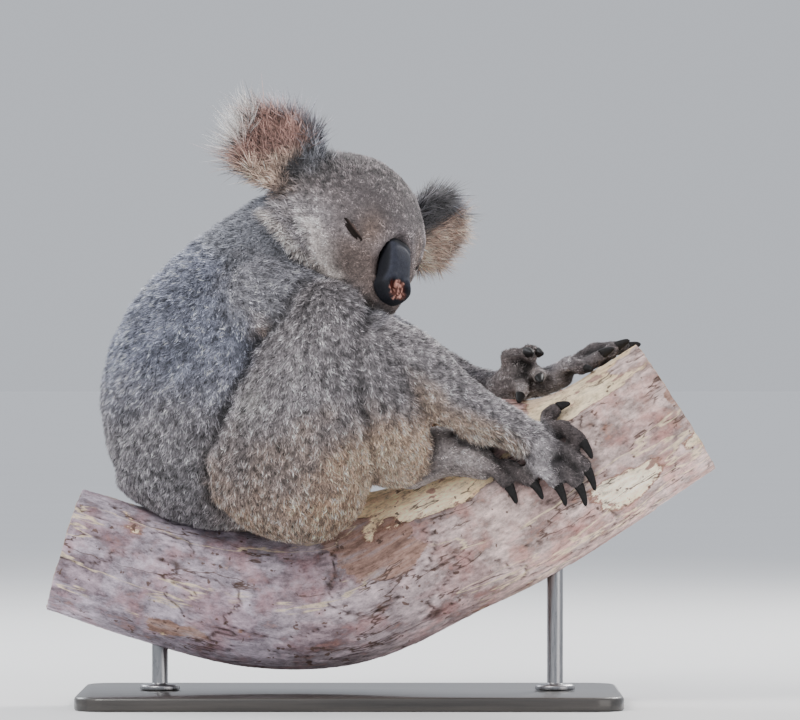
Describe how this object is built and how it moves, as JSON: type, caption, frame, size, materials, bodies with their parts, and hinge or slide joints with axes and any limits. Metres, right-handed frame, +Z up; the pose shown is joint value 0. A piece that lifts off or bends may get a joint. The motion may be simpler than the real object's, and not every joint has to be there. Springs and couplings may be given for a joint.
{
  "type": "koala model on a display stand",
  "caption": "Life-size still koala asleep, sitting and leaning forward with its hands and feet gripping a cut length of branch, which two rods hold over a flat base.",
  "frame": {"origin": "middle of the underside of the stand's base, on the surface it stands on", "axes": "+Z up; +X the way the animal sits and the branch rises; -Y the animal's right side, towards which its face is turned"},
  "size_m": [0.6684, 0.3378, 0.6072],
  "materials": {
    "body_fur": "dense soft grey fur with a salt-and-pepper fleck",
    "ear_fur": "long wispy fur, pale at its tips",
    "paw_fur": "short dark fur over rough skin",
    "nose_skin": "bare slate skin, finely pebbled, satin",
    "eyelid_skin": "thin brown skin, matte",
    "claw_horn": "black horn, satin",
    "bark": "smooth gum bark with peeling patches",
    "stand_board": "dark stained board, satin",
    "stand_metal": "plain brushed rod"
  },
  "bodies": {
    "root": {"arm_upper_left": "body_fur", "arm_upper_right": "body_fur", "claw_foot_left_2": "claw_horn", "claw_foot_left_3": "claw_horn", "claw_foot_left_4": "claw_horn", "claw_foot_left_5": "claw_horn", "claw_foot_right_2": "claw_horn", "claw_foot_right_3": "claw_horn", "claw_foot_right_4": "claw_horn", "claw_foot_right_5": "claw_horn", "claw_hand_left_1": "claw_horn", "claw_hand_left_2": "claw_horn", "claw_hand_left_3": "claw_horn", "claw_hand_left_4": "claw_horn", "claw_hand_left_5": "claw_horn", "claw_hand_right_1": "claw_horn", "claw_hand_right_2": "claw_horn", "claw_hand_right_3": "claw_horn", "claw_hand_right_4": "claw_horn", "claw_hand_right_5": "claw_horn", "ear_left": "ear_fur", "ear_right": "ear_fur", "eyelid_left": "eyelid_skin", "eyelid_right": "eyelid_skin", "foot_left": "paw_fur", "foot_right": "paw_fur", "forearm_left": "body_fur", "forearm_right": "body_fur", "hand_left": "paw_fur", "hand_right": "paw_fur", "head": "body_fur", "neck": "body_fur", "nose": "nose_skin", "perch": "bark", "shank_left": "body_fur", "shank_right": "body_fur", "stand_base": "stand_board", "stand_rod_front": "stand_metal", "stand_rod_rear": "stand_metal", "thigh_left": "body_fur", "thigh_right": "body_fur", "trunk": "body_fur"}
  },
  "joints": []
}
